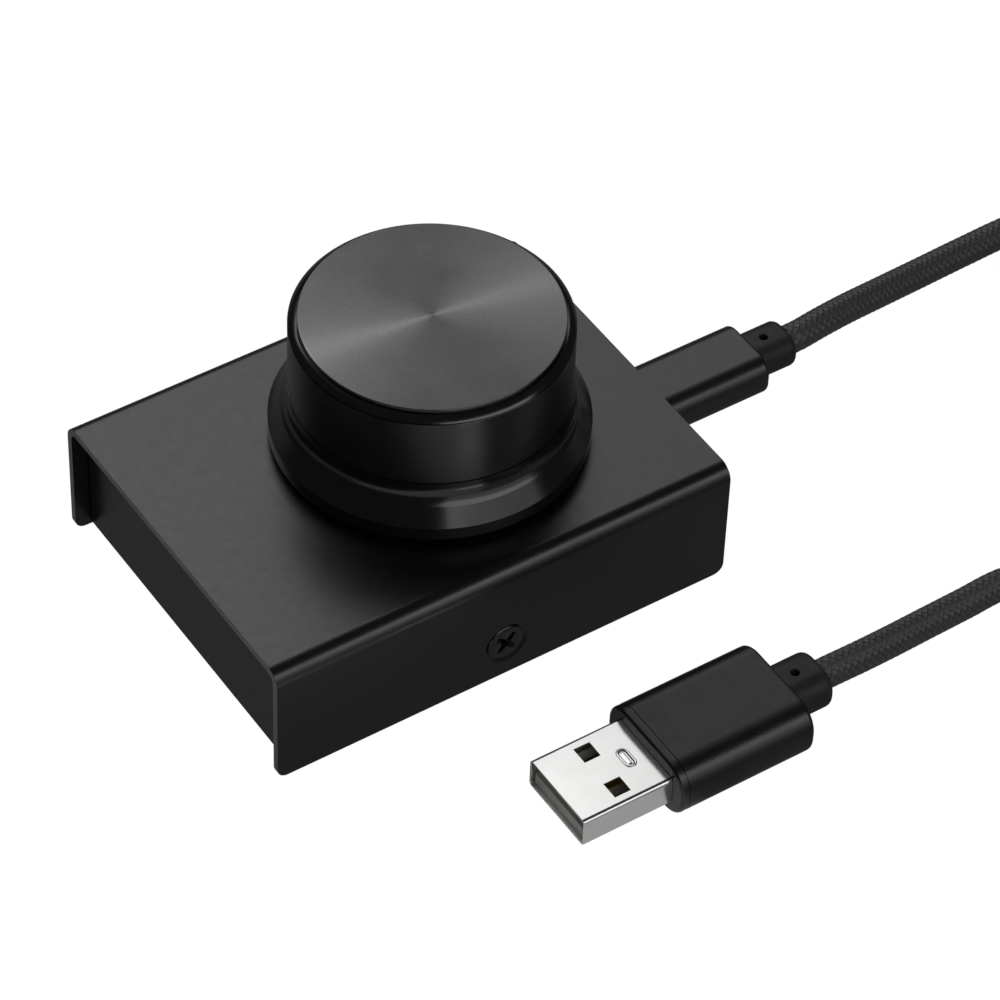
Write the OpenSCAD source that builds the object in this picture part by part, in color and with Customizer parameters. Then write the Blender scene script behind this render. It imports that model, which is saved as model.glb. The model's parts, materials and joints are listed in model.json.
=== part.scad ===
// USB volume control knob: a turned aluminium knob on a rotary encoder with a push switch,
// in a folded sheet-metal case, with its detachable braided cable.
// Origin: on the table, under the middle of the case. +X towards the cable, +Z up.

/* [Case] */
// Length of the cover, along the cable's axis
case_l = 67.2; // [62:0.1:90]
// Width of the cover over its two flanges
case_w = 51.2; // [48:0.4:64]
// Height of the cover from the flat top to the flange edge
case_h = 18.7; // [17.5:0.1:24]
// Thickness of the sheet metal
sheet = 1; // [0.8:0.1:1.4]
// Outer radius of the cover's long folds
fold_r = 2.2; // [1.6:0.1:4]
// Radius of the flanges' lower corners
flange_corner_r = 1.5; // [0.5:0.1:3]
// How far the tray's end panels sit inside the cover's open ends
end_inset = 2.2; // [0.5:0.1:4]
// Height of the tray's underside over the flange edge
tray_lift = 0; // [0:0.1:2]
// Clearance between the tray and the cover
slip = 0.2; // [0.1:0.05:0.4]
// Outer radius of the tray's folds
tray_fold_r = 0.8; // [0.6:0.1:3]

/* [Feet] */
// Diameter of a rubber foot
foot_d = 8; // [6:0.5:12]
// Height of a foot, from the table to the tray
foot_h = 1.2; // [1:0.1:4]
// Distance from a tray edge to a foot's edge
foot_margin = 2.5; // [1:0.5:6]

/* [Cover screws] */
// Diameter of the screw head
screw_head_d = 5.4; // [4.6:0.1:6]
// Diameter of the screw thread
screw_d = 2.9; // [2:0.1:3.5]
// Length of the screw under its face
screw_l = 5; // [4:0.5:8]
// Height of the screw over the tray's underside
screw_rise = 5.5; // [4.6:0.1:7]
// Width of the tray's screw tab
tab_w = 12; // [9:0.5:18]

/* [Knob] */
// Distance of the knob's axis from the middle of the case, towards the cable
knob_x = 5; // [0:0.5:6]
// Distance of the knob's axis from the middle of the case, sideways
knob_y = 0.5; // [-1:0.1:1]
// Gap between the knob and the cover
knob_gap = 0.8; // [0.7:0.1:1.5]
// How far the knob presses down
press_travel = 0.5; // [0.3:0.05:0.6]
// Radius of the knob's grip
grip_r = 18.04; // [16:0.02:20]
// How far the skirt's shoulder, at the top of its cone, stands out from the grip
shoulder_step = 1.06; // [0.8:0.02:1.6]
// How far the skirt's foot stands out from its shoulder
skirt_flare = 1.5; // [0.6:0.1:3]
// Height of the skirt's upright wall
skirt_wall_h = 2.2; // [1:0.1:4]
// Height of the skirt's cone
cone_h = 2.3; // [1:0.1:4]
// Height of the hollow curve between the shoulder and the grip
cove_h = 2.2; // [1:0.1:3]
// Height of the knob's rim over the cover
rim_h = 19.4; // [17:0.1:26]
// Width of the rim round the top disc
rim_w = 1.16; // [1.1:0.02:3]
// Thickness of the top disc
disc_t = 1; // [0.6:0.1:2]
// How far the disc stands over the rim
disc_proud = 0.24; // [0:0.02:0.5]
// Thickness of the knob's wall around its hollow
knob_wall = 1.8; // [1.2:0.1:3]
// Thickness of the knob's crown under the disc
crown_t = 3; // [2:0.1:5]

/* [Encoder] */
// Width of the encoder across its frame's legs
encoder_w = 12.5; // [12:0.1:14]
// Depth of the encoder's housing
encoder_d = 12; // [11.5:0.1:14]
// Height of the encoder's body over the board
encoder_h = 6.5; // [6.4:0.1:8]
// Diameter of the threaded bushing
bushing_d = 7; // [6.8:0.1:8]
// Length of the bushing over the body
bushing_l = 7; // [5:0.1:7.5]
// Diameter of the shaft
shaft_d = 6; // [5.6:0.1:6.2]
// Number of clicks in a turn
detents = 20; // [12:1:24]

/* [Board] */
// How far the circuit board runs past the knob's axis, away from the cable
pcb_reach = 20.8; // [20:0.1:22]
// Thickness of the circuit board
pcb_t = 1.2; // [0.8:0.1:1.6]
// Gap between the board and the tray
pcb_gap = 2.4; // [1.8:0.1:3.2]

/* [Device plug] */
// Length of the plug's housing
dplug_l = 23.5; // [18:0.1:28]
// Width of the plug's housing
dplug_w = 10.4; // [9.8:0.1:12.5]
// Thickness of the plug's housing
dplug_t = 6.2; // [5.2:0.1:7]
// Length of the strain relief behind it
drelief_l = 6.1; // [5:0.1:12]
// Width of the strain relief
drelief_w = 6.6; // [5.4:0.1:8]
// Thickness of the strain relief
drelief_t = 5.2; // [5:0.1:6]

/* [Computer plug] */
// Place of the shell's tip along X
aplug_x = -8; // [-30:1:20]
// Place of the plug's axis along Y
aplug_y = -49.1; // [-60:0.1:-40]
// Length of bare shell
ashell_l = 13.1; // [11.7:0.1:14]
// Length of the housing
aplug_l = 20.2; // [16:0.1:28]
// Width of the housing
aplug_w = 16.2; // [14:0.1:18]
// Thickness of the housing
aplug_t = 8.4; // [7:0.1:9]
// Length of the strain relief
arelief_l = 6.2; // [5:0.1:12]
// Width of the strain relief
arelief_w = 7.7; // [6:0.1:9]
// Thickness of the strain relief
arelief_t = 6; // [5:0.1:7]

/* [Cord] */
// Diameter of the braided cord
cord_d = 4.2; // [4:0.1:4.3]

/* [Hidden] */

$fn = 64;
eps = 0.01;              // how far a cutting tool runs past the face it opens
hair = 0.05;             // radial clearance of a running fit

// ---- heights and places in the case ----
flange_z = foot_h - tray_lift;              // lower edge of the flanges
cover_top = flange_z + case_h;              // the cover's flat top
cover_under = cover_top - sheet;            // its inner face
tray_top = foot_h + sheet;                  // upper face of the tray's floor
tray_w = case_w - 2 * (sheet + slip);       // width of the tray
panel_x = case_l / 2 - end_inset;           // outer face of an end panel
pcb_z = tray_top + pcb_gap;                 // the board's lower face
pcb_top = pcb_z + pcb_t;                    // its upper face
screw_z = foot_h + screw_rise;              // axis of the cover screws
shaft_hole_r = bushing_d / 2 + 1;           // hole in the cover for the bushing

// ---- board ----
pcb_edge = 3.4;                             // from the tray's edge to the board's edge
pcb_w = tray_w - 2 * pcb_edge - 2 * sheet;
pcb_end_gap = 0.4;                          // from the +X end panel to the board
pcb_x1 = panel_x - sheet - pcb_end_gap;
pcb_x0 = knob_x - pcb_reach;
pcb_corner_r = 1;
pcb_hole_inset = 3;                         // from the board's edges to its screw holes
standoff_d = 4.4;
pcb_screw_d = 1.9;
pcb_screw_head_d = 3.6;
pcb_screw_head_h = 1.2;
pcb_hole_d = 2.2;

// ---- device socket ----
socket_w = 8.94;
socket_h = 3.26;
socket_l = 7.3;
socket_wall = 0.25;
socket_z = pcb_top + socket_h / 2;          // axis of the socket and its plug
socket_front = panel_x - 0.2;
socket_back_t = 1;                          // thickness of the block behind the tongue
tongue_w = 6.7;
tongue_t = 0.7;
port_gap = 0.4;                             // panel cut-out round the socket
foot_tab = [1.2, 1.8, 0.3];                 // solder tabs of the socket

// ---- encoder, measured up from the board ----
leg_t = 0.4;                                // sheet of the encoder's frame
frame_t = 0.7;                              // its top plate
body_w = encoder_w - 2 * leg_t;             // plastic housing between the legs
case_floor = 0.6;                           // floor of the switch case
switch_h = 2.2;                             // height of the switch case
dome_r = 3.5;
dome_rise = 0.9;
dome_t = 0.12;
plunger_r = 2.5;
plunger_stem_r = 1.7;
plunger_top = 2.6;
plunger_nub_h = 0.3;
plunger_flange_t = 0.35;
well_r = 4;                                 // round well over the dome
throat_r = 2.3;                             // way through the encoder's floor
base_floor = 0.8;                           // that floor's thickness
rotor_r = 4.9;
rotor_t = 1.6;
rotor_gap = 0.1;                            // gap under the rotor
rotor_z = switch_h + base_floor + rotor_gap;
rotor_well_r = 5.2;
square_w = 3;                               // square tail of the shaft
square_fit = 0.1;                           // clearance across the square
detent_r = 0.45;                            // radius of a detent notch
spring_t = 0.25;
spring_z = rotor_z + rotor_t + 0.5;
spring_hole_r = 3.85;
spring_bump = 0.35;
clip_t = 0.4;
clip_r = 3.5;
clip_z = encoder_h - clip_t - hair;
frame_hole_r = clip_r + 0.2;
collar_r = bushing_d / 2 + 1.2;             // flange of the bushing, on the frame
collar_t = 0.8;
thread_depth = 0.3;
shaft_foot = rotor_z + rotor_t + press_travel + 0.3;   // where the square tail begins
d_flat = 1.5;                               // depth of the D flat
pin_drop = 0.8;                             // how far pins come out under the board

// ---- knob, measured up from the cover's top ----
shoulder_r = grip_r + shoulder_step;
skirt_r = shoulder_r + skirt_flare;
disc_r = grip_r - rim_w;                    // radius of the top disc
hub_r = 6;
hub_z0 = 4.2;                               // the hub's lower end
hub_grip = 8.2;                             // how much of the shaft it holds
boss_wall = 2;                              // of the knob round the hub
rim_r = 1;                                  // rounding of the rim
neck_z = knob_gap + skirt_wall_h + cone_h + cove_h;    // top of the cove
seam_h = 0.25;                              // height of a turned groove
seam_d = 0.2;                               // its depth
crown_z = rim_h + disc_proud - disc_t;      // seat of the disc
shaft_top = cover_top + hub_z0 + hub_grip;
disc_fit = 0.07;
cavity_top = crown_z - crown_t;

// ---- device plug ----
dshell_w = 8.25;
dshell_h = 2.4;
dshell_l = 6.5;
dshell_wall = 0.3;
dplug_x0 = socket_front + 0.5;              // front face of the housing
dplug_x1 = dplug_x0 + dplug_l;
drelief_x1 = dplug_x1 + drelief_l;
dplug_r = 2;
slot_w = 7.1;                               // room for the socket's tongue
slot_h = 1.0;
slot_floor = 0.8;

// ---- computer plug ----
aplug_z = aplug_t / 2;
ashell_w = 12;
ashell_h = 4.5;
ashell_wall = 0.3;
ashell_corner_r = 0.6;
aplug_x0 = aplug_x + ashell_l;
aplug_x1 = aplug_x0 + aplug_l;
arelief_x1 = aplug_x1 + arelief_l;
aplug_r = 2.3;
window = [2.3, 2.5];
window_x = 6.6;                             // from the tip to the windows' centres
window_y = 3.3;                             // from the axis to the windows' centres
dimple_x = 10.2;
dimple_l = 3;
dimple_w = 1.3;
tongue_a_h = 1.84;
tongue_back = 0.5;                          // the tongue's tip behind the shell's tip
contact_y = [-3.5, -1, 1, 3.5];
contact_w = 1;
contact_t = 0.15;
relief_flat = 0.3;                          // half the flat on the side of a strain relief
relief_root_r = 0.2;                        // its rounding at the housing
relief_end_r = 1.1;                         // and at the cord
ring_hole_r = 0.6;                          // anchor hole in each strain relief
ring_hole_depth = 1.6;

// ---- cord ----
cord_r = cord_d / 2;
run_sides = 8;
coil_sides = 6;
coil_rings = 24;                            // rings in a turn
coil_c = [112, -43];                        // middle of the coil
coil_pitch = 4.55;                          // step between turns, and between layers
coil_turns = 7.25;
coil_r_out = 30.3;
tie_t = 0.7;                                // hook-and-loop strap round the turns
tie_w = 10;
tie_gap = 0.1;
tie_angle = 60;
coil_z = tie_t + tie_gap + cord_r;          // axis of the lower layer
coil_half = coil_turns / 2;
coil_r_in = coil_r_out - coil_half * coil_pitch;

// The free stretch from the device plug to the coil, by hand
device_route = [
    [drelief_x1, 0, socket_z], [drelief_x1 + cord_r, 0, socket_z],
    [67.6, 0.7, 7.1], [73, 2.03, 5.9], [80, 3.53, 4.3], [88, 4.91, 2.9], [96, 5.76, 2.2],
    [104, 6, 2.1], [112, 5.4, 2.1], [120.5, 2.9, 2.1], [128.3, -1.6, 2.1], [134.6, -8, 2.1],
    [139, -15.6, 2.1], [141.6, -23.4, 2.4], [142.3, -30.6, 2.8],
    [142.3, -34.8, coil_z], [142.3, -39, coil_z]
];

// The free stretch from the coil to the computer plug, by hand
plug_route = [
    [108, -73.3, coil_z + coil_pitch], [104, -73.3, coil_z + coil_pitch],
    [97.6, -72.6, 6.2], [91, -70.2, 4.4], [85, -65.6, 2.9], [80.4, -59.7, 2.2],
    [75.4, -53, 2.1], [69.4, -48.6, 2.1], [62.5, -47.2, 2.1], [56, -47.35, 2.1],
    [50, -47.7, 2.4], [44, -48.34, 3.1], [38.4, -48.95, 3.9],
    [arelief_x1 + cord_r, aplug_y, aplug_z], [arelief_x1, aplug_y, aplug_z]
];

// ---- helpers ----

// Turns a profile in Y and Z into a bar that runs from x0 to x1
module along_x(x0, x1) {
    translate([x0, 0, 0]) rotate([90, 0, 90]) linear_extrude(x1 - x0) children();
}

// Turns a profile in X and Z into a slab of the given width, centred on Y
module along_y(w) {
    rotate([90, 0, 0]) linear_extrude(w, center = true) children();
}

// A rectangle, centred, with round corners
module round_rect(w, h, r) {
    square([w - 2 * r, h], center = true);
    square([w, h - 2 * r], center = true);
    for (x = [-1, 1], y = [-1, 1]) translate([x * (w / 2 - r), y * (h / 2 - r)]) circle(r);
}

// A rectangle from z = lo to z = hi, centred on the other axis, with its upper corners round
module round_top(w, lo, hi, r) {
    translate([-w / 2, lo]) square([w, hi - r - lo]);
    translate([-w / 2 + r, lo]) square([w - 2 * r, hi - lo]);
    for (s = [-1, 1]) translate([s * (w / 2 - r), hi - r]) circle(r);
}

// Points of an arc round c, from angle a to angle b
function arc(c, rx, ry, a, b, n) =
    [for (i = [0 : n]) let (t = a + (b - a) * i / n) [c[0] + rx * cos(t), c[1] + ry * sin(t)]];

// Points of a rectangle with round corners, counter-clockwise, in the plane of X and Y
function corner_loop(w, h, r, n) = [
    for (q = [0 : 3])
        let (c = [(q == 0 || q == 3 ? 1 : -1) * (w / 2 - r), (q < 2 ? 1 : -1) * (h / 2 - r)])
        each arc(c, r, r, q * 90, q * 90 + 90, n)
];

// A closed skin over a row of rings, which all have the same number of points
module skin(rings) {
    n = len(rings);
    m = len(rings[0]);
    walls = [for (i = [0 : n - 2], k = [0 : m - 1])
        let (a = i * m + k, b = i * m + (k + 1) % m, c = a + m, d = b + m)
        each [[a, b, d], [a, d, c]]];
    last = (n - 1) * m;
    caps = [for (k = [1 : m - 2]) each [[0, k + 1, k], [last, last + k, last + k + 1]]];
    polyhedron([for (ring = rings) each ring], [each walls, each caps], convexity = 6);
}

// Direction of a path at one of its points
function unit(v) = v / norm(v);
function heading(p, i) = unit(p[min(i + 1, len(p) - 1)] - p[max(i - 1, 0)]);

// A closed tube that follows the points p
module tube(p, r, sides) {
    skin([for (i = [0 : len(p) - 1])
        let (t = heading(p, i), s = unit(cross(t, [0, 0, 1])), u = cross(s, t))
        [for (k = [0 : sides - 1])
            let (a = 360 * (k + 0.5) / sides) p[i] + r * (cos(a) * s + sin(a) * u)]]);
}

// A moulded bar along X, centred on its axis: its ends draw in by a quarter round of radius e0 and e1
module moulded_bar(x0, x1, w, t, r, e0, e1) {
    stations = [
        each [for (a = [0 : 30 : 90]) [x0 + e0 * (1 - cos(a)), e0 * (1 - sin(a))]],
        each [for (a = [90 : -30 : 0]) [x1 - e1 * (1 - cos(a)), e1 * (1 - sin(a))]]
    ];
    skin([for (s = stations)
        [for (p = corner_loop(w - 2 * s[1], t - 2 * s[1], r - s[1], 6)) [s[0], -p[0], p[1]]]]);
}

// ---- case ----

module u_profile(w, top, r, t, low) {
    difference() {
        round_top(w, low, top, r);
        round_top(w - 2 * t, low - eps, top - t, max(r - t, 0.2));
    }
}

module countersink(side) {
    head_r = screw_head_d / 2;
    translate([0, side * (case_w / 2 + eps), screw_z]) rotate([side * 90, 0, 0])
        cylinder(h = sheet + slip + 2 * eps, r1 = head_r + eps, r2 = head_r - sheet - slip - eps);
}

module top_cover() {
    color("#242426") difference() {
        intersection() {
            along_x(-case_l / 2, case_l / 2)
                u_profile(case_w, cover_top, fold_r, sheet, flange_z);
            along_y(case_w + 1) mirror([0, 1]) translate([0, -cover_top - flange_z])
                round_top(case_l, flange_z, cover_top, flange_corner_r);
        }
        translate([knob_x, knob_y, cover_under - eps])
            cylinder(h = sheet + 2 * eps, r = shaft_hole_r);
        for (s = [-1, 1]) countersink(s);
    }
}

module base_tray() {
    top = cover_under - slip;
    tab_top = screw_z + screw_head_d / 2 + 1;
    color("#2b2b2d") difference() {
        union() {
            intersection() {
                along_y(tray_w) mirror([0, 1]) translate([0, -top - foot_h])
                    u_profile(2 * panel_x, top, tray_fold_r, sheet, foot_h);
                along_x(-panel_x, panel_x) round_top(tray_w, foot_h, top, fold_r);
            }
            for (s = [-1, 1]) translate([0, s * (tray_w - sheet) / 2, 0])
                along_y(sheet) round_top(tab_w, foot_h, tab_top, 1.5);
        }
        // relief notches beside the tabs
        for (s = [-1, 1], e = [-1, 1])
            translate([e * (tab_w / 2 + 0.5), s * tray_w / 2, foot_h + sheet / 2])
                cube([1, 2 * sheet + 1, sheet + 2 * eps], center = true);
        // tapped holes for the cover screws, with room for the heads' cones
        for (s = [-1, 1]) {
            translate([0, s * (tray_w / 2 + eps), screw_z]) rotate([s * 90, 0, 0])
                cylinder(h = sheet + 2 * eps, r = screw_d / 2 + hair);
            countersink(s);
        }
        // cut-out for the device plug
        along_x(panel_x - sheet - eps, panel_x + eps) translate([0, socket_z])
            round_rect(socket_w + 2 * port_gap, socket_h + 2 * port_gap,
                socket_h / 2 + port_gap - eps);
    }
}

module cover_screw(side) {
    head_r = screw_head_d / 2;
    head_h = head_r - screw_d / 2;
    color("#1c1c1e") translate([0, side * case_w / 2, screw_z]) rotate([side * 90, 0, 0])
        difference() {
            union() {
                cylinder(h = head_h, r1 = head_r, r2 = screw_d / 2);
                cylinder(h = screw_l, r = screw_d / 2);
            }
            // cross recess
            for (a = [0, 90]) rotate(a + 20) translate([0, 0, -eps])
                linear_extrude(1) square([0.8, screw_head_d * 0.62], center = true);
        }
}

module foot(sx, sy) {
    place_x = panel_x - foot_margin - foot_d / 2;
    place_y = tray_w / 2 - foot_margin - foot_d / 2;
    color("#18181a") translate([sx * place_x, sy * place_y, 0])
        rotate_extrude() polygon([
            [0, 0], [foot_d / 2 - 0.7, 0], [foot_d / 2 - 0.3, 0.3],
            [foot_d / 2, foot_h - 0.4], [foot_d / 2, foot_h], [0, foot_h]
        ]);
}

// ---- board ----

function pcb_holes() = [
    for (x = [pcb_x0 + pcb_hole_inset, pcb_x1 - pcb_hole_inset], s = [-1, 1])
        [x, s * (pcb_w / 2 - pcb_hole_inset)]
];

module pcb_standoffs() {
    color("silver") for (p = pcb_holes()) translate([p[0], p[1], tray_top]) difference() {
        cylinder(h = pcb_gap, d = standoff_d);
        translate([0, 0, -eps]) cylinder(h = pcb_gap + 2 * eps, d = pcb_screw_d + 2 * hair);
    }
}

module pcb_screws() {
    color("silver") for (p = pcb_holes()) translate([p[0], p[1], pcb_top]) difference() {
        union() {
            cylinder(h = pcb_screw_head_h, d = pcb_screw_head_d);
            translate([0, 0, -pcb_t - pcb_gap + hair])
                cylinder(h = pcb_t + pcb_gap, d = pcb_screw_d);
        }
        for (a = [0, 90]) rotate(a) translate([0, 0, pcb_screw_head_h])
            cube([0.5, 2.2, 1.2], center = true);
    }
}

module pcb() {
    color("#1d5a34") difference() {
        translate([(pcb_x0 + pcb_x1) / 2, 0, pcb_z]) linear_extrude(pcb_t)
            round_rect(pcb_x1 - pcb_x0, pcb_w, pcb_corner_r);
        for (p = pcb_holes()) translate([p[0], p[1], pcb_z - eps])
            cylinder(h = pcb_t + 2 * eps, d = pcb_hole_d);
        translate([knob_x, knob_y, pcb_z - eps]) {
            for (p = terminal_places()) translate([p[0], p[1], 0])
                cylinder(h = pcb_t + 2 * eps, r = 0.55);
            for (s = [-1, 1]) translate([s * (encoder_w - leg_t) / 2 - 0.5, -1.3, 0])
                cube([1, 2.6, pcb_t + 2 * eps]);
        }
    }
}

chip = [8.7, 3.9, 1.5];
chip_x = knob_x - 14.8;
chip_y = 4;
chip_pins = 8;
chip_pitch = 1;

module controller_chip() {
    color("#202022") translate([chip_x, chip_y, pcb_top]) {
        translate([0, 0, 0.1 + chip[2] / 2]) cube(chip, center = true);
        for (i = [0 : chip_pins - 1], s = [-1, 1])
            translate([(i - (chip_pins - 1) / 2) * chip_pitch, s * (chip[1] / 2 + 0.4), 0.35])
                cube([0.4, 1.2, 0.7], center = true);
    }
}

can = [11, 4.4, 3.4];
can_y = -6;

module crystal_can() {
    color("silver") translate([chip_x, can_y, pcb_top]) {
        linear_extrude(0.5) round_rect(can[0], can[1], can[1] / 2 - eps);
        linear_extrude(can[2]) round_rect(can[0] - 0.9, can[1] - 0.9, can[1] / 2 - 0.5);
    }
}

small_part = [2, 1.2, 0.7];                 // a resistor or a small capacitor
small_pitch = 3.2;
small_x = knob_x + 10;
large_part = [1.6, 3.2, 0.9];               // a larger capacitor
large_pitch = 6;
large_x = knob_x + 14.5;
load_step = 3;                              // from the chip's middle to a capacitor under it

module chip_passives() {
    color("#b08a5a") translate([0, 0, pcb_top]) {
        for (i = [-2 : 2]) translate([small_x, i * small_pitch, small_part[2] / 2])
            cube(small_part, center = true);
        for (i = [-1 : 1]) translate([large_x, i * large_pitch, large_part[2] / 2])
            cube(large_part, center = true);
        for (s = [-1, 1]) translate([chip_x + s * load_step, 0, small_part[2] / 2])
            cube(small_part, center = true);
    }
}

// ---- device socket ----

module usb_socket_shell() {
    color("silver") {
        along_x(socket_front - socket_l, socket_front) translate([0, socket_z]) difference() {
            round_rect(socket_w, socket_h, socket_h / 2 - eps);
            round_rect(socket_w - 2 * socket_wall, socket_h - 2 * socket_wall,
                socket_h / 2 - socket_wall - eps);
        }
        for (x = [1.4, 5.2], s = [-1, 1])
            translate([socket_front - socket_l + x, s * (socket_w / 2 - 0.1),
                pcb_top + foot_tab[2] / 2]) cube(foot_tab, center = true);
    }
}

module usb_socket_tongue() {
    color("#1a1a1c") {
        along_x(socket_front - socket_l, socket_front - socket_l + socket_back_t)
            translate([0, socket_z]) round_rect(socket_w - 2 * socket_wall,
                socket_h - 2 * socket_wall, socket_h / 2 - socket_wall - eps);
        translate([socket_front - socket_l + socket_back_t - eps, -tongue_w / 2,
            socket_z - tongue_t / 2]) cube([4.9, tongue_w, tongue_t]);
    }
}

// ---- encoder with push switch ----

module on_board() {
    translate([knob_x, knob_y, pcb_top]) children();
}

function terminal_places() = [
    for (x = [-2.5, 0, 2.5]) [x, -encoder_d / 2 - 1.1],
    for (x = [-2.5, 2.5]) [x, encoder_d / 2 + 1.1]
];

module switch_case() {
    color("#7a3b2a") on_board() difference() {
        translate([-body_w / 2, -encoder_d / 2, 0]) cube([body_w, encoder_d, switch_h]);
        translate([0, 0, case_floor]) cylinder(h = switch_h, r = well_r);
    }
}

module switch_dome() {
    // a spherical cap through the rim radius and the rise
    ball = (dome_r * dome_r + dome_rise * dome_rise) / (2 * dome_rise);
    color("silver") on_board() translate([0, 0, case_floor]) intersection() {
        translate([0, 0, dome_rise - ball]) difference() {
            sphere(ball, $fn = 96);
            sphere(ball - dome_t, $fn = 96);
        }
        cylinder(h = dome_rise + 1, r = dome_r);
    }
}

module switch_plunger() {
    nub = case_floor + dome_rise;
    color("ivory") on_board() {
        translate([0, 0, nub]) cylinder(h = plunger_nub_h + eps, r = 0.8);
        translate([0, 0, nub + plunger_nub_h]) cylinder(h = plunger_flange_t, r = plunger_r);
        translate([0, 0, nub + plunger_nub_h])
            cylinder(h = plunger_top - nub - plunger_nub_h, r = plunger_stem_r);
    }
}

module encoder_base() {
    top = encoder_h - frame_t;
    color("#3a3a3e") on_board() difference() {
        translate([-body_w / 2, -encoder_d / 2, switch_h])
            cube([body_w, encoder_d, top - switch_h]);
        translate([0, 0, switch_h - eps]) cylinder(h = top, r = throat_r);
        translate([0, 0, switch_h + base_floor]) cylinder(h = top, r = rotor_well_r);
    }
}

module encoder_frame() {
    top = encoder_h - frame_t;
    color("#c9cacc") on_board() {
        difference() {
            translate([-encoder_w / 2, -encoder_d / 2, top]) cube([encoder_w, encoder_d, frame_t]);
            translate([0, 0, top - eps]) cylinder(h = frame_t + 2 * eps, r = frame_hole_r);
        }
        for (s = [-1, 1]) translate([s * (encoder_w - leg_t) / 2, 0, 0]) {
            translate([-leg_t / 2, -3, 0]) cube([leg_t, 6, encoder_h]);
            translate([-leg_t / 2, -1, -pcb_t - pin_drop]) cube([leg_t, 2, encoder_h]);
        }
    }
}

module encoder_bushing() {
    turns = floor((bushing_l - collar_t - 1) / 1);
    color("#b9babd") on_board() translate([0, 0, encoder_h]) difference() {
        union() {
            cylinder(h = collar_t, r = collar_r);
            cylinder(h = bushing_l, r = bushing_d / 2 - thread_depth);
            for (i = [0 : turns]) translate([0, 0, collar_t + 0.5 + i])
                rotate_extrude() polygon([
                    [bushing_d / 2 - thread_depth - eps, 0], [bushing_d / 2, 0.3],
                    [bushing_d / 2, 0.4], [bushing_d / 2 - thread_depth - eps, 0.7]
                ]);
        }
        translate([0, 0, -eps]) cylinder(h = bushing_l + 2 * eps, r = shaft_d / 2 + hair);
    }
}

module encoder_rotor() {
    hole = square_w + square_fit;
    color("white") on_board() translate([0, 0, rotor_z]) difference() {
        cylinder(h = rotor_t, r = rotor_r);
        translate([-hole / 2, -hole / 2, -eps]) cube([hole, hole, rotor_t + 2 * eps]);
        // detent notches round the upper face
        for (i = [0 : detents - 1]) rotate(360 * i / detents)
            translate([spring_hole_r, 0, rotor_t]) rotate([0, 90, 0])
                cylinder(h = rotor_r, r = detent_r, $fn = 24);
    }
}

module encoder_detent_spring() {
    color("#c8b070") on_board() translate([0, 0, spring_z]) {
        difference() {
            cylinder(h = spring_t, r = rotor_well_r - hair);
            translate([0, 0, -eps]) cylinder(h = spring_t + 2 * eps, r = spring_hole_r);
        }
        for (s = [-1, 1]) translate([s * (spring_hole_r + rotor_well_r) / 2, 0, -spring_bump])
            cylinder(h = spring_bump + eps, r1 = 0.25, r2 = 0.45);
    }
}

module encoder_terminals() {
    color("#d8d8d0") on_board() for (p = terminal_places()) {
        s = sign(p[1]);
        translate([p[0], p[1], -pcb_t - pin_drop]) cylinder(h = pcb_t + pin_drop + 1, r = 0.4);
        translate([p[0] - 0.4, s > 0 ? encoder_d / 2 : p[1], 0.6])
            cube([0.8, abs(p[1]) - encoder_d / 2, 0.4]);
    }
}

module encoder_shaft() {
    color("#d5d6d8") {
        on_board() translate([-square_w / 2, -square_w / 2, plunger_top])
            cube([square_w, square_w, shaft_foot - plunger_top + eps]);
        difference() {
            translate([knob_x, knob_y, pcb_top + shaft_foot])
                cylinder(h = shaft_top - pcb_top - shaft_foot, r = shaft_d / 2);
            // the D flat that keys the knob
            translate([knob_x - shaft_d, knob_y + shaft_d / 2 - d_flat,
                pcb_top + encoder_h + bushing_l + 0.5])
                cube([2 * shaft_d, shaft_d, shaft_top]);
            // groove for the clip
            on_board() translate([0, 0, clip_z]) difference() {
                cylinder(h = clip_t, r = shaft_d);
                cylinder(h = clip_t, r = shaft_d / 2 - 0.4);
            }
        }
    }
}

module shaft_clip() {
    color("#9a9a9e") on_board() translate([0, 0, clip_z]) difference() {
        cylinder(h = clip_t, r = clip_r);
        translate([0, 0, -eps]) cylinder(h = clip_t + 2 * eps, r = shaft_d / 2 - 0.4);
        translate([0, -0.8, -eps]) cube([clip_r + 1, 1.6, clip_t + 2 * eps]);
    }
}

// ---- knob ----

// Half profile of the turned knob, from its foot up to the crown
function knob_profile() = [
    [0, knob_gap],
    [skirt_r - 0.5, knob_gap],
    each arc([skirt_r - 0.5, knob_gap + 0.5], 0.5, 0.5, -90, 0, 4),
    [skirt_r, knob_gap + skirt_wall_h],
    [shoulder_r + 0.12, knob_gap + skirt_wall_h + cone_h - 0.16],
    each arc([shoulder_r - 0.3, knob_gap + skirt_wall_h + cone_h - 0.3], 0.4, 0.4, 20, 80, 3),
    each arc([shoulder_r - 0.2, neck_z], shoulder_r - 0.2 - grip_r, cove_h - 0.1, 260, 180, 6),
    [grip_r - seam_d, neck_z + 0.01],
    [grip_r - seam_d, neck_z + seam_h],
    [grip_r, neck_z + seam_h + 0.05],
    [grip_r, rim_h - rim_r - 2 * seam_h],
    [grip_r - seam_d, rim_h - rim_r - 2 * seam_h],
    [grip_r - seam_d, rim_h - rim_r - seam_h],
    [grip_r, rim_h - rim_r - seam_h],
    each arc([grip_r - rim_r, rim_h - rim_r], rim_r, rim_r, 0, 80, 6),
    [grip_r - rim_r, rim_h],
    [0, rim_h]
];

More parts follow.
